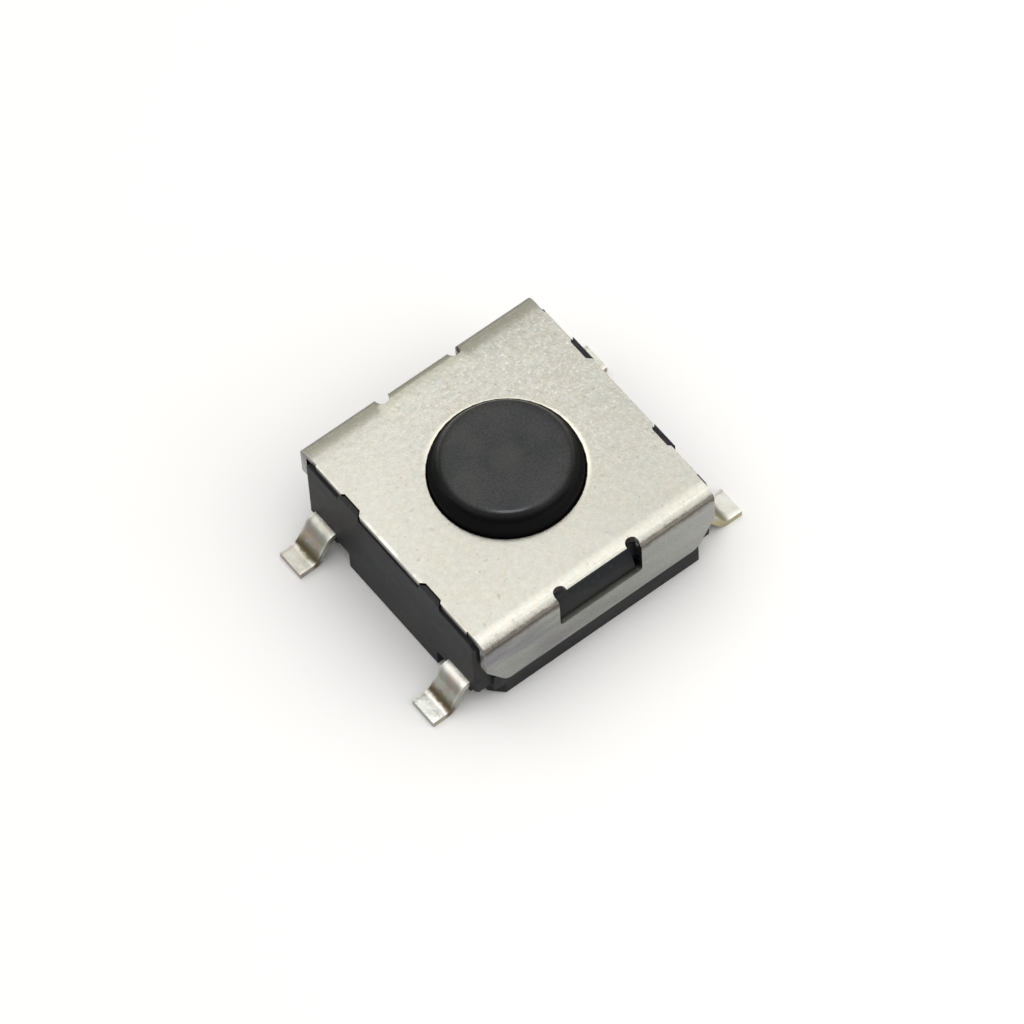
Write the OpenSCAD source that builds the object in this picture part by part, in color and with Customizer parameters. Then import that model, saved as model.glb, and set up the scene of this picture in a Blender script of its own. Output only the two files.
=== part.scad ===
// Surface-mount tactile push button switch, 6 mm class, with four gull-wing leads.
// Millimetres, +Z up. The origin is on the circuit board, under the middle of the switch:
// X runs across the leads, Y runs across the two folded flanges of the cover.

/* [Cover] */
// Length of the cover across the leads, over its middle tabs
cover_l = 6.0; // [5.8:0.1:7.2]
// Width over the outside of the two flanges
cover_w = 6.2; // [6:0.1:7.6]
// Height of the top face above the circuit board
cover_h = 2.6; // [2.5:0.05:3.2]
// Thickness of the cover sheet
sheet = 0.2; // [0.15:0.01:0.24]
// Inside radius of the fold between top and flange
fold_r = 0.06; // [0.04:0.01:0.12]
// Depth of a flange below the top face
flange_drop = 1.65; // [1.35:0.05:1.9]
// Length cut off the lower corners of a flange
flange_cut_l = 0.48; // [0.2:0.02:0.8]
// Height cut off the lower corners of a flange
flange_cut_h = 0.74; // [0.2:0.02:0.9]
// Radius between that cut and the flange's lower edge
flange_cut_r = 0.25; // [0.1:0.05:0.4]
// Length of the latch window in each flange
window_l = 2.1; // [1.6:0.1:2.8]
// Depth of the window's lower edge below the top face
window_drop = 1.0; // [0.8:0.05:1.2]
// Radius of the window's lower corners
window_r = 0.1; // [0.05:0.01:0.2]
// Angle round the fold at which the window's upper edge is cut
window_fold_a = 33; // [15:1:45]
// Radius of the relief hole at each upper corner of the window
relief_r = 0.15; // [0.1:0.01:0.18]
// Distance by which a relief hole reaches into the flat top
relief_in = 0.02; // [0.01:0.01:0.06]
// Length of the middle tab on each open edge
tab_l = 2.0; // [1.6:0.1:2.4]
// Length of each notch beside the middle tab
notch_l = 0.6; // [0.4:0.05:0.8]
// Depth of each notch
notch_d = 0.1; // [0.06:0.01:0.14]
// Length of the end tab beyond each notch
end_tab_l = 0.92; // [0.5:0.02:1.1]
// Distance by which the end tabs stand back from the middle tab
end_tab_back = 0.04; // [0:0.01:0.08]
// Distance by which the flanges stand back from the middle tab
flange_back = 0.07; // [0.04:0.01:0.16]
// Radius rolled onto the edge of the button hole by the punch
punch_r = 0.03; // [0.02:0.01:0.08]

/* [Button] */
// Diameter of the key where it passes through the cover
button_d = 3.2; // [2.6:0.1:3.6]
// Height of the key above the cover
button_rise = 0.5; // [0.4:0.1:4.4]
// Height of the key's straight side above the cover
button_side_h = 0.18; // [0.1:0.02:0.3]
// Width of the bevel between the key's side and its top
button_bevel = 0.24; // [0.1:0.02:0.4]
// Radius that softens the upper edge of the bevel
button_edge_r = 0.08; // [0.04:0.01:0.12]
// Travel of the key from rest to contact
travel = 0.25; // [0.15:0.01:0.3]
// Width of the square collar that holds the key in
collar_w = 4.2; // [4:0.1:4.4]
// Thickness of the collar
collar_t = 0.55; // [0.4:0.05:0.6]
// Corner radius of the collar
collar_r = 0.5; // [0.3:0.05:0.8]
// Diameter of the pusher under the collar
pusher_d = 1.3; // [1:0.1:1.6]
// Radius of the pusher's domed end
pusher_r = 1.6; // [1.2:0.1:3]

/* [Base] */
// Distance by which the base stands out beyond the middle tabs
base_out = 0.03; // [0:0.01:0.06]
// Gap between the underside of the base and the circuit board
stand_off = 0.05; // [0.02:0.01:0.1]
// Distance by which the lower bands stand out from the sides behind the flanges
band_out = 0.08; // [0.04:0.01:0.12]
// Size of the chamfer down the four upright corners
corner_c = 0.06; // [0.04:0.01:0.2]
// Size of the chamfer along the top edges, clear of the folds
fold_c = 0.14; // [0.1:0.01:0.2]
// Length of the full-height middle of each lead side
skirt_l = 2.96; // [2.4:0.02:3.2]
// Depth of the recess under the leads
recess_d = 0.4; // [0.25:0.05:0.45]
// Height of the recess roof beside the leads, above the circuit board
recess_h = 0.55; // [0.45:0.01:0.6]
// Height of the pad of plastic under the leads, above the circuit board
boss_h = 0.42; // [0.3:0.01:0.5]
// Height of the recess roof at the corners, outside the leads
corner_h = 0.61; // [0.5:0.01:0.64]
// Size of the chamfer at the one marked lower corner
mark_c = 0.27; // [0.15:0.01:0.4]
// Length of each latch
latch_l = 1.9; // [1.4:0.1:2.4]
// Height of each latch
latch_h = 0.5; // [0.4:0.05:0.6]
// Height of the square lower edge of each latch
latch_edge = 0.08; // [0.05:0.01:0.15]
// Distance from a latch's tip to the outside of the flange
latch_in = 0.12; // [0.06:0.01:0.15]
// Height of the lugs in the cover's notches, above the underside of the cover
lug_h = 0.16; // [0.08:0.01:0.18]
// Diameter of the core-pin holes under the terminals
core_pin_d = 0.6; // [0.4:0.05:0.7]

/* [Terminals] */
// Distance between the centre lines of the two leads on one side
lead_pitch = 4.5; // [4.4:0.05:4.8]
// Distance from the base's side to the tip of a lead
lead_out = 0.97; // [0.95:0.01:2]
// Width of a lead
lead_w = 0.7; // [0.5:0.05:0.75]
// Thickness of the terminal sheet
lead_t = 0.16; // [0.12:0.01:0.2]
// Length of the flat solder foot
foot_l = 0.3; // [0.25:0.05:1]
// Height of the terminal sheet's upper face above the circuit board
lead_h = 0.78; // [0.72:0.01:0.84]
// Angle of the lead's riser below the horizontal
riser_a = 58; // [50:1:75]
// Inside radius of the bend at the shoulder
shoulder_r = 0.12; // [0.08:0.01:0.14]
// Inside radius of the bend at the heel
heel_r = 0.2; // [0.08:0.01:0.22]

/* [Contacts] */
// Diameter of the snap dome
dome_d = 4.0; // [3.6:0.1:4.2]
// Rise of the dome's underside above its rim
dome_rise = 0.3; // [0.28:0.01:0.36]
// Thickness of the dome
dome_t = 0.08; // [0.05:0.01:0.1]
// Thickness of the insulating film
film_t = 0.05; // [0.03:0.01:0.08]
// Width of the film's flat edge outside the dome's well
film_edge = 0.1; // [0.06:0.01:0.12]
// Height of the outer contact pads above the terminal sheet
pad_rise = 0.14; // [0.1:0.01:0.16]
// Diameter of an outer contact pad
pad_d = 0.5; // [0.4:0.05:0.6]
// Diameter of the centre contact pad
centre_pad_d = 1.0; // [0.7:0.1:1.2]
// Width of the arms that carry the outer pads
arm_w = 0.7; // [0.6:0.05:0.8]
// Width of the tongue that carries the centre pad
tongue_w = 0.8; // [0.6:0.1:1]

/* [Clearances] */
// Gap all round the key in the cover's hole
guide_gap = 0.03; // [0.02:0.01:0.1]
// Gap between the collar and the walls of the base
collar_gap = 0.1; // [0.05:0.01:0.15]
// Gap between parts that rest on each other but stay loose
rest_gap = 0.02; // [0.01:0.01:0.03]
// Gap round the dome in its well
dome_gap = 0.06; // [0.04:0.01:0.1]
// Gap round the insulating film
film_gap = 0.03; // [0.02:0.01:0.05]
// Gap between the flanges and the base's sides
flange_gap = 0.08; // [0.04:0.01:0.1]
// Gap between the lugs and their notches
lug_gap = 0.02; // [0.01:0.01:0.04]

/* [Hidden] */
$fn = 96;
eps = 0.01;

// Cover
under_h = cover_h - sheet;             // underside of the cover's top
fold_out = fold_r + sheet;             // outside radius of the fold
flange_h = cover_h - flange_drop;      // lower edge of a flange
window_h = cover_h - window_drop;      // lower edge of a window
hole_d = button_d + 2 * guide_gap;
notch_slope = 0.1;                     // run-out at each end of a notch
notch_end = tab_l / 2 + notch_l;
end_tab_end = notch_end + end_tab_l;
fold_y = cover_w / 2 - fold_out;       // where the flat top ends
fold_z = cover_h - fold_out;

// Base
base_l = cover_l + 2 * base_out;
side_w = cover_w - 2 * (sheet + flange_gap);
band_w = side_w + 2 * band_out;        // width over the lower bands
band_h = flange_h - rest_gap;          // the flanges end just above the bands
band_l = base_l - 2 * recess_d;        // length of the lower band between the recesses

// Terminals
strip_h = lead_h - lead_t;             // underside of the terminal sheet
lead_y = lead_pitch / 2;
foot_x = base_l / 2 + lead_out - foot_l;
bend_sum = shoulder_r + heel_r + lead_t;
riser_l = (strip_h - bend_sum * (1 - cos(riser_a))) / sin(riser_a);
bend_x = foot_x - bend_sum * sin(riser_a) - riser_l * cos(riser_a);
strip_in = lead_y - lead_w / 2;        // inner edge of a terminal strip

// Contacts
rim_h = lead_h + pad_rise;             // the dome's rim rests here, on the outer pads
dome_r_in = (pow(dome_d / 2, 2) + pow(dome_rise, 2)) / (2 * dome_rise);
dome_z = rim_h + dome_rise - dome_r_in;
dome_top = rim_h + dome_rise + dome_t;
centre_pad_rise = rim_h + dome_rise - travel - lead_h;
pad_xy = (dome_d / 2 - dome_t / 4) / sqrt(2);
floor_h = rim_h - 0.06;                // plastic floor between the pads
film_r_in = dome_r_in + dome_t + rest_gap;
film_seat = rim_h + dome_t + 2 * rest_gap;
film_top = dome_top + rest_gap + film_t;
well_d = dome_d + 2 * dome_gap;
film_d = well_d + 2 * film_edge;
cavity_w = collar_w + 2 * collar_gap;
cavity_r = collar_r + collar_gap;

// Button
button_top = cover_h + button_rise;
collar_top = under_h - rest_gap;
collar_h = collar_top - collar_t;
pusher_h = film_top + rest_gap;

// A rectangle whose four corners are true arcs
module rounded_square(l, w, r) {
    square([l, w - 2 * r], center = true);
    square([l - 2 * r, w], center = true);
    for (x = [-1, 1], y = [-1, 1])
        translate([x * (l / 2 - r), y * (w / 2 - r)]) circle(r);
}

// The outline of a sheet folded down at both ends: flat top, round shoulders
module arch(half_w, top, bottom, r) {
    translate([-half_w, bottom]) square([2 * half_w, top - r - bottom]);
    translate([r - half_w, bottom]) square([2 * (half_w - r), top - bottom]);
    for (s = [-1, 1]) translate([s * (half_w - r), top - r]) circle(r);
}

// Turns a drawing in Y and Z into a bar along X
module along_x(l) {
    rotate([90, 0, 90]) linear_extrude(l, center = true) children();
}

// Turns a drawing in X and Z into a bar along Y
module along_y(l) {
    rotate([90, 0, 0]) linear_extrude(l, center = true) children();
}

// Material cut back from an open edge of the cover, from y0 to y1
module edge_cut(y0, y1, depth) {
    polygon([[cover_l / 2 + eps, y0 - eps], [cover_l / 2, y0],
             [cover_l / 2 - depth, y0 + notch_slope], [cover_l / 2 - depth, y1 - notch_slope],
             [cover_l / 2, y1], [cover_l / 2 + eps, y1 + eps]]);
}

// Outline of the cover seen from above
module cover_plan() {
    difference() {
        square([cover_l, cover_w + 2 * eps], center = true);
        for (sx = [0, 1], sy = [0, 1]) mirror([sx, 0]) mirror([0, sy]) {
            edge_cut(tab_l / 2, notch_end + notch_slope, notch_d);
            translate([cover_l / 2 - end_tab_back, notch_end]) square([1, cover_w]);
            translate([cover_l / 2 - flange_back, end_tab_end]) square([1, cover_w]);
        }
    }
}

// Window outline seen from the side, with square upper and round lower corners
module window_face() {
    translate([-window_l / 2, window_h + window_r]) square([window_l, cover_h]);
    translate([window_r - window_l / 2, window_h]) square([window_l - 2 * window_r, cover_h]);
    for (s = [-1, 1]) translate([s * (window_l / 2 - window_r), window_h + window_r])
        circle(window_r);
}

// Everything the punch removes for one window: square to the sheet in the fold
module window_cut() {
    reach = 2 * fold_out;
    intersection() {
        translate([0, fold_y, 0]) along_y(2 * reach) window_face();
        along_x(window_l + 1) polygon([
            [fold_y, fold_z],
            [fold_y + reach * sin(window_fold_a), fold_z + reach * cos(window_fold_a)],
            [fold_y + 2 * reach, cover_h], [fold_y + 2 * reach, 0], [fold_y, 0]]);
    }
    for (s = [-1, 1])
        translate([s * (window_l / 2 - relief_r + rest_gap),
                   fold_y + relief_r - relief_in, fold_z])
            cylinder(r = relief_r, h = 1);
}

// Removes the hole for the key, with the edge that the punch rolled over
module hole_cut() {
    cylinder(d = hole_d, h = 2 * cover_h);
    rotate_extrude() difference() {
        translate([0, cover_h - punch_r]) square([hole_d / 2 + punch_r, 2 * punch_r]);
        translate([hole_d / 2 + punch_r, cover_h - punch_r]) circle(punch_r);
    }
}

// What is cut off one lower corner of a flange, drawn in X and Z at the +X end
module corner_cut() {
    flange_x = cover_l / 2 - flange_back;
    lean = atan2(flange_cut_h, flange_cut_l);
    run_in = flange_cut_r * tan(lean / 2);
    polygon(concat(
        [for (i = [0:6]) [flange_x - flange_cut_l - run_in, flange_h + flange_cut_r]
            + flange_cut_r * [sin(lean * i / 6), -cos(lean * i / 6)]],
        [[flange_x, flange_h + flange_cut_h], [flange_x + 1, flange_h + flange_cut_h],
         [flange_x + 1, flange_h - 1], [flange_x - flange_cut_l - run_in, flange_h - 1]]));
}

module cover() {
    color([0.80, 0.79, 0.74]) difference() {
        intersection() {
            along_x(cover_l) difference() {
                arch(cover_w / 2, cover_h, flange_h, fold_out);
                arch(cover_w / 2 - sheet, under_h, flange_h - 1, fold_r);
            }
            linear_extrude(cover_h + 1) cover_plan();
        }
        for (s = [0, 1]) mirror([s, 0, 0]) along_y(cover_w + 1) corner_cut();
        for (s = [0, 1]) mirror([0, s, 0]) window_cut();
        hole_cut();
    }
}

module button() {
    r = button_d / 2;
    bevel_h = button_rise - button_side_h;
    lean = atan2(bevel_h, button_bevel);       // from the bevel's normal to the vertical
    flat_r = r - button_bevel - button_edge_r * tan(lean / 2);
    color([0.20, 0.20, 0.21]) union() {
        rotate_extrude() polygon(concat(
            [[0, collar_h], [r, collar_h], [r, button_top - bevel_h]],
            [for (i = [6:-1:0]) [flat_r, button_top - button_edge_r]
                + button_edge_r * [sin(lean * i / 6), cos(lean * i / 6)]],
            [[0, button_top]]));
        translate([0, 0, collar_h]) linear_extrude(collar_t)
            rounded_square(collar_w, collar_w, collar_r);
        rotate_extrude() intersection() {
            translate([0, pusher_h + pusher_r]) circle(pusher_r);
            translate([0, pusher_h]) square([pusher_d / 2, collar_h + eps - pusher_h]);
        }
    }
}

module insulating_film() {
    color([0.80, 0.52, 0.16]) rotate_extrude() difference() {
        union() {
            intersection() {
                translate([0, dome_z]) circle(film_r_in + film_t, $fn = 200);
                translate([0, film_seat]) square([film_d / 2, 1]);
            }
            translate([0, film_seat]) square([film_d / 2, film_t]);
        }
        translate([0, dome_z]) circle(film_r_in, $fn = 200);
    }
}

module snap_dome() {
    color([0.86, 0.86, 0.85]) rotate_extrude() intersection() {
        difference() {
            translate([0, dome_z]) circle(dome_r_in + dome_t, $fn = 200);
            translate([0, dome_z]) circle(dome_r_in, $fn = 200);
        }
        translate([0, rim_h]) square([dome_d / 2, 1]);
    }
}

// A straight run of terminal sheet along +X, lying on the X axis; what follows it
// is drawn from its far end
module run(l) {
    square([l, lead_t]);
    translate([l, 0]) children();
}

// A downward bend of terminal sheet, with inside radius r; what follows it is drawn
// from its far end
module bend_down(r, a) {
    far = 2 * (r + lead_t);
    translate([0, -r]) {
        intersection() {
            difference() {
                circle(r + lead_t);
                circle(r);
            }
            polygon([[0, 0], [0, far], [far * tan(a / 2), far], far * [sin(a), cos(a)]]);
        }
        rotate(-a) translate([0, r]) children();
    }
}

// The same bend turned upward
module bend_up(r, a) {
    translate([0, lead_t]) mirror([0, 1]) bend_down(r, a)
        translate([0, lead_t]) mirror([0, 1]) children();
}

// Side view of one gull-wing lead, from inside the base to the tip
module lead_side() {
    translate([strip_in, strip_h])
        run(bend_x - strip_in) bend_down(shoulder_r, riser_a)
        run(riser_l) bend_up(heel_r, riser_a) run(foot_l);
}

// The strip and the two leads that both terminals have, on the +Y side
module strip_and_leads() {
    translate([-strip_in - eps, strip_in, strip_h])
        cube([2 * (strip_in + eps), lead_w, lead_t]);
    for (s = [0, 1]) mirror([s, 0, 0])
        translate([0, lead_y, 0]) along_y(lead_w) lead_side();
}

// A contact pad pressed up out of the sheet, and its hollow underside
module pad(d, rise) {
    cylinder(d = d, h = lead_t + rise);
}
module pad_hollow(d, rise) {
    translate([0, 0, -eps]) cylinder(d = d - lead_t, h = rise + eps);
}

module outer_terminal_solid() {
    arm_end = strip_in - lead_t;
    difference() {
        union() {
            strip_and_leads();
            for (s = [-1, 1]) translate([s * pad_xy - arm_w / 2, -arm_end, strip_h])
                cube([arm_w, arm_end + strip_in + eps, lead_t]);
            for (x = [-1, 1], y = [-1, 1])
                translate([x * pad_xy, y * pad_xy, strip_h]) pad(pad_d, pad_rise);
        }
        for (x = [-1, 1], y = [-1, 1])
            translate([x * pad_xy, y * pad_xy, strip_h]) pad_hollow(pad_d, pad_rise);
    }
}

module centre_terminal_solid() {
    difference() {
        union() {
            mirror([0, 1, 0]) strip_and_leads();
            translate([-tongue_w / 2, -strip_in - eps, strip_h])
                cube([tongue_w, strip_in + eps + tongue_w / 2, lead_t]);
            translate([0, 0, strip_h]) cylinder(d = centre_pad_d + 2 * lead_t, h = lead_t);
            translate([0, 0, strip_h]) pad(centre_pad_d, centre_pad_rise);
        }
        translate([0, 0, strip_h]) pad_hollow(centre_pad_d, centre_pad_rise);
    }
}

module outer_terminal() {
    color([0.82, 0.82, 0.79]) outer_terminal_solid();
}

module centre_terminal() {
    color([0.84, 0.83, 0.78]) centre_terminal_solid();
}

// Plan of the base with its four chamfered corners
module base_plan(l, c) {
    difference() {
        square([l, side_w], center = true);
        for (x = [-1, 1], y = [-1, 1]) polygon([
            [x * (l / 2 - c), y * side_w / 2], [x * (l / 2 + c), y * side_w / 2],
            [x * l / 2, y * (side_w / 2 - c)]]);
    }
}

// End view of the base's lead side: skirt, recess roof and the pad under each lead
module lead_side_view() {
    half = side_w / 2;
    step = 0.1;
    edge = [[skirt_l / 2, stand_off], [skirt_l / 2, recess_h - step / 2],
            [skirt_l / 2 + step / 2, recess_h], [strip_in - step, recess_h],
            [strip_in, boss_h], [strip_in + lead_w, boss_h],
            [strip_in + lead_w + step, corner_h], [half, corner_h], [half, under_h]];
    polygon(concat(edge, [for (i = [len(edge) - 1 : -1 : 0]) [-edge[i][0], edge[i][1]]]));
}

// The base without its cavity
module base_block() {
    intersection() {
        linear_extrude(cover_h) base_plan(base_l, corner_c);
        along_x(base_l) lead_side_view();
    }
    difference() {
        union() {
            translate([-band_l / 2, -side_w / 2, stand_off])
                cube([band_l, side_w, under_h - stand_off]);
            translate([-band_l / 2, -band_w / 2, stand_off])
                cube([band_l, band_w, band_h - stand_off]);
        }
        linear_extrude(2 * boss_h, center = true) polygon([
            [-band_l / 2 - eps, -band_w / 2 - eps],
            [mark_c - band_l / 2 + eps, -band_w / 2 - eps],
            [-band_l / 2 - eps, mark_c - band_w / 2 + eps]]);
    }
}

// Section of a latch: a ramp that the flange slides over, with a square lower edge
module latch_section() {
    low = window_h + rest_gap;
    tip = cover_w / 2 - latch_in;
    polygon([[side_w / 2 - eps, low], [tip, low], [tip, low + latch_edge],
             [side_w / 2, low + latch_h], [side_w / 2 - eps, low + latch_h]]);
}

// Lug that fills one notch in the cover's open edge, with the same sloped ends
module lug() {
    x0 = cover_l / 2 - notch_d + lug_gap;
    x1 = base_l / 2;
    mid = tab_l / 2 + (notch_l + notch_slope) / 2;
    function half(x) = mid - tab_l / 2 - (cover_l / 2 - x) * notch_slope / notch_d - 2 * lug_gap;
    translate([0, 0, under_h - eps]) linear_extrude(lug_h + eps) polygon([
        [x0, mid - half(x0)], [x1, mid - half(x1)], [x1, mid + half(x1)], [x0, mid + half(x0)]]);
}

module base() {
    color([0.22, 0.22, 0.23]) difference() {
        union() {
            difference() {
                base_block();
                for (s = [-1, 1]) along_x(base_l + 1) polygon([
                    [s * side_w / 2, under_h - fold_c], [s * (side_w / 2 - fold_c), under_h],
                    [s * side_w / 2, under_h + fold_c]]);
            }
            for (s = [0, 1]) mirror([0, s, 0]) along_x(latch_l) latch_section();
            for (sx = [0, 1], sy = [0, 1]) mirror([sx, 0, 0]) mirror([0, sy, 0]) lug();
        }
        translate([0, 0, film_seat]) linear_extrude(cover_h)
            rounded_square(cavity_w, cavity_w, cavity_r);
        translate([0, 0, film_seat]) cylinder(d = film_d + 2 * film_gap, h = cover_h);
        translate([0, 0, floor_h]) cylinder(d = well_d, h = cover_h);
        for (x = [-1, 0, 1]) translate([x * pad_xy, 0, 0])
            cylinder(d = core_pin_d, h = strip_h + eps);
        outer_terminal_solid();
        centre_terminal_solid();
    }
}

base();
outer_terminal();
centre_terminal();
snap_dome();
insulating_film();
button();
cover();
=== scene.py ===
"""A 6 mm surface-mount tactile push button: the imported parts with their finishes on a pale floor.

Lengths are in metres in the frame of the parts, where the origin is on the board under the
switch. Finishes read millimetres.
"""
import math

import bmesh
import bpy
from mathutils import Matrix, Vector


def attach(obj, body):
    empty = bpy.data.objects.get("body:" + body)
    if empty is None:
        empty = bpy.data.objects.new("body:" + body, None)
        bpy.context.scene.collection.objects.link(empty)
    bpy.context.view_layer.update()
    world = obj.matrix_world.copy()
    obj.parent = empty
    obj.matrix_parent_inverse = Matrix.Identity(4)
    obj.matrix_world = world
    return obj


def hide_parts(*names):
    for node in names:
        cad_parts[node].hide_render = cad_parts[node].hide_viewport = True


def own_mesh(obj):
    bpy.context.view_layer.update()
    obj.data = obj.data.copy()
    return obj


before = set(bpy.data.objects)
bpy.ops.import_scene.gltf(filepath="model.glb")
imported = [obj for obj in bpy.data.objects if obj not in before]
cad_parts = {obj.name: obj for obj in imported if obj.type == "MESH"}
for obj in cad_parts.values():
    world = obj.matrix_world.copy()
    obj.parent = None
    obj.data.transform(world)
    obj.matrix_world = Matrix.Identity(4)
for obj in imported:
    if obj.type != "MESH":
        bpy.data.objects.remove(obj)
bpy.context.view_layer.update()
MM = 0.001


# ---- Camera ------------------------------------------------------------------------------
# A long lens looking down at the left front corner, rolled a few degrees. It aims near the
# middle of the cover's top face.
turn, height, roll = math.radians(-34.17), math.radians(58.79), math.radians(-4.12)
distance = 164.5 * MM
off_right, off_down = 0.114 * MM, 0.857 * MM
cover_top = 2.6
aim = Vector((0, 0, cover_top * MM))

level = Vector((math.cos(turn), math.sin(turn), 0))
upright = Vector((-math.sin(turn) * math.sin(height), math.cos(turn) * math.sin(height),
                  math.cos(height)))
back = level.cross(upright)
across = level * math.cos(roll) + upright * math.sin(roll)
upward = upright * math.cos(roll) - level * math.sin(roll)

camera = bpy.data.objects.new("camera", bpy.data.cameras.new("camera"))
bpy.context.scene.collection.objects.link(camera)
camera.data.lens = 284.9
camera.data.clip_start, camera.data.clip_end = 0.02, 2
camera.matrix_world = Matrix.Translation(
    aim + back * distance + across * off_right - upward * off_down
) @ Matrix((across, upward, back)).transposed().to_4x4()
bpy.context.scene.camera = camera


# ---- Finishes ----------------------------------------------------------------------------
# How a surface is described: numbers that vary over it are added and multiplied as written,
# and each finish reads the distance along the part's own axes in millimetres.
class Wire:
    """A number that varies over a surface. Arithmetic on it adds Math nodes."""

    def __init__(self, finish, socket):
        self.finish, self.socket = finish, socket

    def maths(self, operation, *values):
        return self.finish.add("ShaderNodeMath", {"operation": operation}, values).wire()

    def __add__(self, other):
        return self.maths("ADD", self, other)

    def __sub__(self, other):
        return self.maths("SUBTRACT", self, other)

    def __rsub__(self, other):
        return self.maths("SUBTRACT", other, self)

    def __mul__(self, other):
        return self.maths("MULTIPLY", self, other)

    def __abs__(self):
        return self.maths("ABSOLUTE", self)

    def root(self):
        return self.maths("SQRT", self)

    def over(self, level):
        """How far it is above level, and 0 below it."""
        return self.maths("MAXIMUM", self - level, 0.0)

    __radd__, __rmul__ = __add__, __mul__

    def step(self, low, high):
        """0 below low, 1 above high and smooth between; low may be the larger."""
        return self.finish.add("ShaderNodeMapRange", {"interpolation_type": "SMOOTHSTEP"},
                               {"Value": self, "From Min": low, "From Max": high}).wire()


class Added:
    """A node that was just added, and its outputs."""

    def __init__(self, finish, node):
        self.finish, self.node = finish, node

    def wire(self, output=0):
        return Wire(self.finish, self.node.outputs[output])


class Finish:
    """A procedural material with one Principled shader."""

    def __init__(self, name, **same_all_over):
        self.material = bpy.data.materials.new(name)
        self.material.use_nodes = True
        self.tree = self.material.node_tree
        self.shader = self.tree.nodes["Principled BSDF"]
        for socket, value in same_all_over.items():
            self.shader.inputs[socket.replace("_", " ")].default_value = value
        place = self.add("ShaderNodeTexCoord")
        self.place = self.add("ShaderNodeVectorMath", {"operation": "SCALE"},
                              {"Vector": place.wire("Object"), "Scale": 1 / MM}).wire()
        self.facing = place.wire("Normal")

    def add(self, kind, settings=(), sockets=()):
        node = self.tree.nodes.new(kind)
        for name, value in dict(settings).items():
            setattr(node, name, value)
        pairs = sockets.items() if isinstance(sockets, dict) else enumerate(sockets)
        for socket, value in pairs:
            if isinstance(value, Wire):
                self.tree.links.new(value.socket, node.inputs[socket])
            else:
                node.inputs[socket].default_value = value
        return Added(self, node)

    def axes(self, vector):
        split = self.add("ShaderNodeSeparateXYZ", {}, [vector])
        return split.wire(0), split.wire(1), split.wire(2)

    def stretched(self, x, y, z):
        """The place on the part, scaled by axis, so that a pattern runs along one of them."""
        return self.add("ShaderNodeVectorMath", {"operation": "MULTIPLY"},
                        [self.place, (x, y, z)]).wire()

    def noise(self, per_mm, detail=2.0, roughness=0.5, place=None):
        return self.add("ShaderNodeTexNoise", {}, {
            "Vector": place or self.place, "Scale": per_mm, "Detail": detail,
            "Roughness": roughness}).wire("Fac")

    def mix(self, share, first, second):
        """One colour turning into another as share goes from 0 to 1."""
        colours = [c if isinstance(c, Wire) else (*c, 1.0) for c in (first, second)]
        return self.add("ShaderNodeMix", {"data_type": "RGBA"},
                        {0: share, 6: colours[0], 7: colours[1]}).wire(2)

    def bump(self, height, depth, strength=1.0):
        """Relief of that depth, in metres, where height goes from 0 to 1."""
        return self.add("ShaderNodeBump", {}, {
            "Height": height, "Distance": depth, "Strength": strength}).wire()

    def shade(self, **sockets):
        for name, value in sockets.items():
            self.tree.links.new(value.socket, self.shader.inputs[name.replace("_", " ")])

    def put_on(self, piece):
        piece.data.materials.clear()
        piece.data.materials.append(self.material)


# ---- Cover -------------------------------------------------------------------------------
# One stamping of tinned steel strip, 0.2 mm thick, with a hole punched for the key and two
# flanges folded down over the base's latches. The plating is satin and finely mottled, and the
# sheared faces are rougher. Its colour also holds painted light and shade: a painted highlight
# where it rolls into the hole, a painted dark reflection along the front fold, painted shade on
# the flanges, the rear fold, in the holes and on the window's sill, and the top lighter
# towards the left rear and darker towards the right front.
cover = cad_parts["cover"]
half_long, half_wide = 3.0, 3.1
roll_start = 2.70                           # how far out the top begins to roll into a fold
window_top = 2.2
tin = Finish("satin_tin_plate", Metallic=1.0)
along, depth, up = tin.axes(tin.place)
out_x, out_y, out_z = tin.axes(tin.facing)
radius = (along * along + depth * depth).root()
bend = (abs(depth) - roll_start) * 2 + (cover_top - up)
fold = bend.step(0.1, 0.5)
rear = depth.step(-0.5, 0.5)
flank = (bend + rear * 0.28).step(0.60, 1.05)
rear_fold_shade = rear * bend.step(-0.3, 0.4)
rear_flank_shade = rear * bend.step(1.5, 1.05)
open_mid = rear * abs(along).step(1.2, 0.95) * bend.step(1.3, 1.0)
edges = abs(out_x).step(0.8, 0.95)
sill = abs(out_y).step(0.3, 0.2) * out_z.step(0.5, 0.7) * up.step(window_top + 0.1, window_top)
walls = abs(out_z).step(0.35, 0.2) * up.step(window_top, window_top + 0.1)
walls = walls * abs(depth).step(half_wide - 0.05, half_wide - 0.15)
walls = walls * abs(along).step(half_long - 0.01, half_long - 0.05)

grain = tin.noise(21, 3, 0.75)
mottle = tin.noise(7, 3, 0.6)
patch = tin.noise(0.6, 2)
busy = (along * 0.63 + depth * 0.78).step(-2.2, 3.2)
contrast = busy * 1.15 + 0.75
cloud = (grain * 0.55 + mottle * 0.35 + patch * 0.1 - 0.5) * contrast + 0.5
cloud = cloud.step(0.38, 0.62)
tint = tin.noise(4.5, 4, 0.7).step(0.30, 0.70)
cool = tin.mix(cloud, (0.462, 0.467, 0.420), (0.556, 0.556, 0.516))
warm = tin.mix(cloud, (0.486, 0.466, 0.392), (0.576, 0.556, 0.494))
satin = tin.mix(tint, cool, warm)
speck = tin.noise(8, 1, 0.4).step(0.68, 0.76)
satin = tin.mix(speck * 0.4, satin, (0.28, 0.26, 0.20))
sparkle = tin.noise(15, 1, 0.4).step(0.60, 0.68) * busy
satin = tin.mix(sparkle * 0.6, satin, (0.74, 0.74, 0.68))
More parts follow.
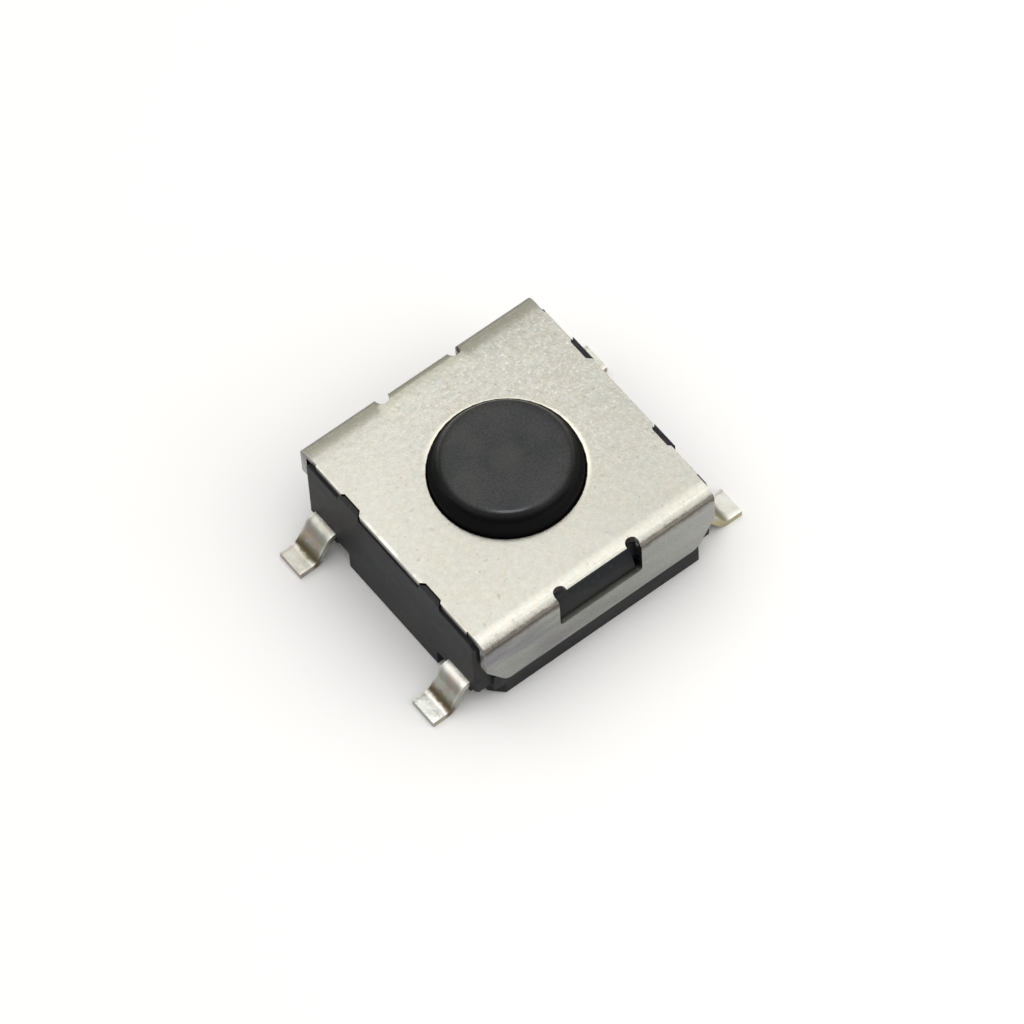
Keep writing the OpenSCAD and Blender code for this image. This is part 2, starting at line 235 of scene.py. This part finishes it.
# Painted light and shade: the top is lighter towards the left rear and darker towards the right
# front.
painted_light_left_rear = (depth - along).step(0.5, 4.5)
painted_shade_right_front = (along - depth).step(0.5, 4.5) * (1 - fold)
satin = tin.mix(painted_light_left_rear * 0.19, satin, (0.70, 0.70, 0.64))
satin = tin.mix(painted_shade_right_front * 0.17, satin, (0.30, 0.30, 0.27))
# Painted shade: the rear fold is darker and yellower.
satin = tin.mix(rear_fold_shade * 0.5, satin, (0.50, 0.49, 0.36))
# Painted highlight: a cream band on the hole's rolled rim, on its right and far side.
hole_rim_highlight = radius.step(1.76, 1.67) * (along + depth * 0.8).step(-1.1, 1.3) * 0.9
satin = tin.mix(hole_rim_highlight, satin, (0.92, 0.86, 0.74))

# The flanges: streaks of tint on colours darker than the top's, which is painted shade on the same
# tin; lighter towards the right, and darkest below the rear fold, also painted shade.
streak = tin.noise(1, 4, 0.6, tin.stretched(0.5, 1.5, 2.4)).step(0.34, 0.66)
flange_base_shade = tin.mix(along.step(-2.0, -0.4), (0.196, 0.188, 0.211), (0.240, 0.240, 0.228))
side = tin.mix(streak, flange_base_shade, (0.308, 0.318, 0.283))
side = tin.mix(along.step(0.2, 2.6) * 0.6, side, (0.334, 0.331, 0.322))
side = tin.mix(rear_flank_shade * 0.9, side, (0.098, 0.084, 0.050))
satin = tin.mix(flank, satin, side)
# Painted dark reflection: a ragged dark band along the front fold.
ragged = bend + tin.noise(5, 3, 0.65) * 0.28 - 0.14
fold_dark_reflection = ragged.step(0.70, 0.84) * ragged.step(1.16, 0.98) * (1 - rear)
satin = tin.mix(fold_dark_reflection * 0.7, satin, (0.10, 0.078, 0.058))

# Painted shade: the window's sill is near black inside and lighter towards its outer edge.
sill_shade = tin.mix(abs(depth).step(2.92, 3.12), (0.02, 0.02, 0.02), (0.22, 0.22, 0.20))
satin = tin.mix(sill, satin, sill_shade)
# The walls of the holes are near black: partly the dull sheared face, partly painted shade.
satin = tin.mix(walls, satin, (0.05, 0.045, 0.04))
# Painted highlight: a broken pale line along the top's left edge.
cover_left_edge_highlight = (-1 * along).step(half_long - 0.09, half_long - 0.04) * out_z.step(0.8, 0.95)
highlight_gaps = tin.noise(2.4, 3, 0.6).step(0.40, 0.58)
satin = tin.mix(cover_left_edge_highlight * highlight_gaps * 0.8, satin, (0.82, 0.81, 0.76))
# The cut ends are darker towards the bottom, and darker still on the flanges.
edge_tone = tin.mix(up.step(2.44, 2.58), (0.16, 0.15, 0.15), (0.50, 0.48, 0.46))
edge_tone = tin.mix(up.step(2.45, 2.35), edge_tone, (0.26, 0.255, 0.255))
satin = tin.mix(edges, satin, edge_tone)

crown = radius * radius * 0.004
rolled = bend.step(0.79, 1.195) * 0.058 - bend.step(-0.1, 0.79) * 0.08
rolled = rolled * (1 - rear * 0.4) * (1 - open_mid * 0.6)
slack = depth.over(2.35) * (1 - open_mid)
ripple = tin.noise(9, 3, 0.6, tin.stretched(1, 0.7, 0.7))
relief = (grain * 0.4 + mottle * 0.6) * (1 - fold) * (busy * 0.005 + 0.005) + ripple * fold * 0.009
tin.shade(
    Base_Color=satin,
    Roughness=grain * 0.16 + 0.26 - fold * 0.06 + (sill + walls) * 0.2,
    Normal=tin.bump(relief + rolled - crown - slack * slack * 0.08, MM),
)
tin.put_on(cover)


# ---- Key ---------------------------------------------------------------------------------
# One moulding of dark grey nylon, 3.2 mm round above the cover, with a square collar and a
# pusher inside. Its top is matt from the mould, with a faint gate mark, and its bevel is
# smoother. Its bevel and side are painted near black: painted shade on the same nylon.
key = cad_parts["button"]
nylon = Finish("dark_nylon", Specular_IOR_Level=0.11)
along, depth, up = nylon.axes(nylon.place)
radius = (along * along + depth * depth).root()
top = radius.step(1.46, 1.26) * up.step(2.9, 3.0)
smooth = radius.step(1.14, 1.22)
rim = radius.step(1.20, 1.44)
foot = radius.step(1.46, 1.54)
gate = radius.step(0.42, 0.24)
grain = nylon.noise(22, 3, 0.7)
patch = nylon.noise(1.4, 3)
cloud = (grain * 0.6 + patch * 0.4).step(0.35, 0.65)
face = nylon.mix(cloud, (0.0245, 0.0255, 0.0265), (0.0445, 0.0445, 0.0425))
face = nylon.mix(gate * 0.35, face, (0.047, 0.047, 0.043))
# Painted shade: everything but the top gets a near-black colour of the same nylon, which darkens
# the top's edge too.
nylon.shade(
    Base_Color=nylon.mix(top, (0.0014, 0.0014, 0.0017), face),
    Roughness=grain * 0.12 + 0.36 - smooth * 0.2 + foot * 0.5,
    Normal=nylon.bump(grain * 0.002 - radius.step(1.1, 1.6) * 0.02 - rim * 0.05, MM),
)
nylon.put_on(key)


# ---- Base --------------------------------------------------------------------------------
# One moulding of glass-filled plastic, near black, with a low gloss, flow marks and paler
# specks of filler. The two terminals are moulded into it.
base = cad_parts["base"]
filled = Finish("glass_filled_plastic", Specular_IOR_Level=0.08)
grain = filled.noise(18, 3, 0.6)
flow = filled.noise(1, 2, 0.5, filled.stretched(0.8, 0.8, 2.4))
dull = filled.mix(flow.step(0.3, 0.7), (0.020, 0.0215, 0.0245), (0.032, 0.0315, 0.032))
filler = filled.noise(5, 3, 0.7).step(0.58, 0.70)
dull = filled.mix(filler * 0.5, dull, (0.050, 0.051, 0.054))
filled.shade(
    Base_Color=dull,
    Roughness=grain * 0.16 + 0.40,
    Normal=filled.bump(grain, 1.5e-6, 0.6),
)
filled.put_on(base)


# ---- Terminals ---------------------------------------------------------------------------
# Two strips stamped from tinned brass, each with a lead at both ends bent into a gull wing
# for soldering. The plating is clouded pink and green, with a yellow stain on the right front
# lead and a dark band in the heels. Its colour also holds painted light and shade: faces that
# look up lighter than the risers, painted highlights on the upper bends and along the edges,
# and painted shade on the rear feet and the right front lead.
lead_y = 2.25
plate = Finish("bright_tin", Metallic=1.0)
along, depth, up = plate.axes(plate.place)
_, _, out_z = plate.axes(plate.facing)
reach = abs(along)
grain = plate.noise(14, 3, 0.6)
blot = plate.noise(4.5, 3, 0.6)
cloud = plate.noise(2.6, 2, 0.5).step(0.42, 0.58)
off_line = abs(abs(depth) - lead_y)
knee = up.step(0.50, 0.85)
uneven = reach + blot * 0.24 - 0.12
heel = uneven.step(3.40, 3.50) * uneven.step(3.68, 3.58) * up.step(0.50, 0.2)
riser = plate.mix(cloud, (0.40, 0.335, 0.305), (0.41, 0.43, 0.385))
riser = plate.mix(blot.step(0.52, 0.62) * 0.5, riser, (0.42, 0.37, 0.22))
# Painted highlight: the upper bends are lighter.
riser = plate.mix(knee * 0.8, riser, (0.60, 0.62, 0.57))
bright = plate.mix(cloud, (0.80, 0.76, 0.70), (0.85, 0.87, 0.82))
# Painted shade: the rear feet are darker.
rear_foot_shade = plate.mix(cloud, (0.57, 0.54, 0.47), (0.61, 0.63, 0.56))
bright = plate.mix(depth.step(-1, 1), bright, rear_foot_shade)
# Painted light and shade: faces that look up get the light colour, the risers the dark one.
colour = plate.mix(out_z.step(0.55, 0.9), riser, bright)
# A dark band in the heels.
colour = plate.mix(heel * 0.85, colour, (0.12, 0.085, 0.035))
# Painted shade on the right front lead, and a yellow stain on its foot.
front_right_lead_shade_and_stain = along.step(3.0, 3.2) * depth.step(-1.6, -1.9)
colour = plate.mix(front_right_lead_shade_and_stain * 0.6, colour, (0.48, 0.48, 0.44))
spot = front_right_lead_shade_and_stain * depth.step(-lead_y, -2.5) * (blot + 0.1).step(0.45, 0.6)
spot = spot * out_z.step(0.95, 0.8)
colour = plate.mix(spot * 0.7, colour, (0.46, 0.41, 0.21))
# Painted highlight along the edges of the leads.
lead_edge_highlight = off_line.step(0.29, 0.34) * out_z.step(0.3, 0.5) * (1 - heel)
colour = plate.mix(lead_edge_highlight * 0.5, colour, (0.86, 0.87, 0.84))
wave = blot * 0.014 - off_line.step(0.24, 0.38) * 0.014 - knee * 0.05
plate.shade(
    Base_Color=colour,
    Roughness=grain * 0.14 + 0.32,
    Normal=plate.bump(wave + grain * 0.002, MM),
)
for name in ("outer_terminal", "centre_terminal"):
    plate.put_on(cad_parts[name])


# ---- Contacts ----------------------------------------------------------------------------
# The snap dome is a cap of spring steel, 4 mm round and 0.08 mm thick, whose rim rests on the
# outer pads. An amber film with a flat edge lies over it and keeps dust out. Both are pressed
# from sheet, and both flatten as the key goes down.
cap_centre = -5.5967 * MM                   # the centre of both caps' spheres


def sheet_cap(name, inner_r, rim_r, flange_r, sheet):
    """A cap spun from a short arc, with a flat edge out to flange_r.

    Its faces look inwards until it is thickened, which adds the outer wall and the edge.
    """
    shape = bmesh.new()
    top = bmesh.ops.create_vert(shape, co=(0, 0, cap_centre + inner_r))["vert"]
    arc = bmesh.ops.spin(shape, geom=top, cent=(0, 0, cap_centre), axis=(0, 1, 0),
                         angle=math.asin(rim_r / inner_r), steps=14)
    if flange_r > rim_r:
        edge = [g for g in arc["geom_last"] if isinstance(g, bmesh.types.BMVert)]
        out = bmesh.ops.extrude_vert_indiv(shape, verts=edge)["verts"]
        bmesh.ops.translate(shape, verts=out, vec=(flange_r - rim_r, 0, 0))
    bmesh.ops.spin(shape, geom=shape.verts[:] + shape.edges[:], cent=(0, 0, 0), axis=(0, 0, 1),
                   angle=2 * math.pi, steps=72, use_merge=True)
    bmesh.ops.remove_doubles(shape, verts=shape.verts[:], dist=1e-7)
    bmesh.ops.recalc_face_normals(shape, faces=shape.faces[:])
    if min(shape.faces, key=lambda f: f.calc_center_median().xy.length).normal.z > 0:
        bmesh.ops.reverse_faces(shape, faces=shape.faces[:])
    bmesh.ops.solidify(shape, geom=shape.faces[:], thickness=sheet)
    mesh = bpy.data.meshes.new(name)
    shape.to_mesh(mesh)
    shape.free()
    mesh.shade_smooth()
    piece = bpy.data.objects.new(name, mesh)
    bpy.context.scene.collection.objects.link(piece)
    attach(piece, "housing")
    return piece


dome = sheet_cap("snap_dome_cap", inner_r=6.8167 * MM, rim_r=2.0 * MM, flange_r=0,
                 sheet=0.08 * MM)
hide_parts("snap_dome")
spring = Finish("spring_steel", Metallic=1.0)
grain = spring.noise(20, 2)
spring.shade(
    Base_Color=spring.mix(grain, (0.66, 0.66, 0.65), (0.78, 0.78, 0.77)),
    Roughness=grain * 0.1 + 0.18,
    Normal=spring.bump(grain * 0.001, MM),
)
spring.put_on(dome)
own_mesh(dome)

film = sheet_cap("amber_film", inner_r=6.9167 * MM, rim_r=1.948 * MM, flange_r=2.16 * MM,
                 sheet=0.05 * MM)
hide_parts("insulating_film")
amber = Finish("amber_film", Coat_Weight=0.3)
cloud = amber.noise(1.5, 2)
amber.shade(
    Base_Color=amber.mix(cloud, (0.50, 0.20, 0.03), (0.62, 0.28, 0.05)),
    Roughness=cloud * 0.1 + 0.2,
    Normal=amber.bump(cloud * 0.002, MM),
)
amber.put_on(film)
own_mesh(film)


# ---- Floor and light ---------------------------------------------------------------------
# A plain pale floor under broad soft lights. The cover's flat top mirrors the overhead one,
# and the spark shines on the key alone, for the glint on its bevel.
bpy.ops.mesh.primitive_plane_add(size=0.6)
floor = bpy.context.object
floor.name = "floor"
paper = Finish("pale_paper", Specular_IOR_Level=0.1, Roughness=0.9)
paper.shade(Base_Color=paper.mix(paper.noise(0.02), (0.92, 0.92, 0.915), (0.93, 0.93, 0.925)))
paper.put_on(floor)

room = bpy.data.worlds.new("room")
bpy.context.scene.world = room
room.use_nodes = True
air = room.node_tree
sky = air.nodes["Background"]
sky.inputs["Strength"].default_value = 1.0
way = air.nodes.new("ShaderNodeTexCoord")
rise = air.nodes.new("ShaderNodeSeparateXYZ")
fade = air.nodes.new("ShaderNodeValToRGB")
stops = fade.color_ramp.elements
for place, glow in ((0.0, 0.10), (0.15, 0.22), (0.35, 0.34), (1.0, 0.46)):
    stop = stops.new(place) if 0 < place < 1 else stops[int(place)]
    stop.color = (glow, glow * 0.98, glow * 0.94, 1)
air.links.new(way.outputs["Generated"], rise.inputs[0])
air.links.new(rise.outputs["Z"], fade.inputs["Fac"])
air.links.new(fade.outputs["Color"], sky.inputs["Color"])


def softbox(name, azimuth, elevation, away, sides, radiance, colour):
    """A panel that faces the switch. Azimuth 0 is in front and 90 on the right.

    Its sides are given as shares of how far away it is.
    """
    a, e = math.radians(azimuth), math.radians(elevation)
    outward = Vector((math.sin(a) * math.cos(e), -math.cos(a) * math.cos(e), math.sin(e)))
    lamp = bpy.data.objects.new(name, bpy.data.lights.new(name, "AREA"))
    bpy.context.scene.collection.objects.link(lamp)
    lamp.location = outward * away
    lamp.rotation_euler = outward.to_track_quat("Z", "Y").to_euler()
    lamp.data.shape = "RECTANGLE"
    lamp.data.size, lamp.data.size_y = (side * away for side in sides)
    lamp.data.energy = radiance * math.pi * lamp.data.size * lamp.data.size_y
    lamp.data.color = colour
    lamp.visible_camera = False
    return lamp


softbox("overhead", azimuth=138, elevation=85.5, away=0.055, sides=(1.95, 1.35),
        radiance=0.725, colour=(1, 0.985, 0.955))
softbox("front_fill", azimuth=35, elevation=32, away=0.10, sides=(1.0, 0.75),
        radiance=1.05, colour=(1, 0.99, 0.97))
softbox("fold_light", azimuth=40, elevation=75, away=0.05, sides=(0.5, 0.22),
        radiance=0.75, colour=(1, 0.99, 0.97))
spark = softbox("spark", azimuth=-34, elevation=80, away=0.05, sides=(0.32, 0.14),
                radiance=25, colour=(0.90, 0.95, 1))
lit_by_spark = bpy.data.collections.new("lit_by_spark")
lit_by_spark.objects.link(key)
spark.light_linking.receiver_collection = lit_by_spark
softbox("rear_fill", azimuth=150, elevation=14, away=0.12, sides=(1.6, 0.5),
        radiance=0.3, colour=(1, 0.98, 0.93))

view = bpy.context.scene.view_settings
view.view_transform, view.look = "Standard", "None"
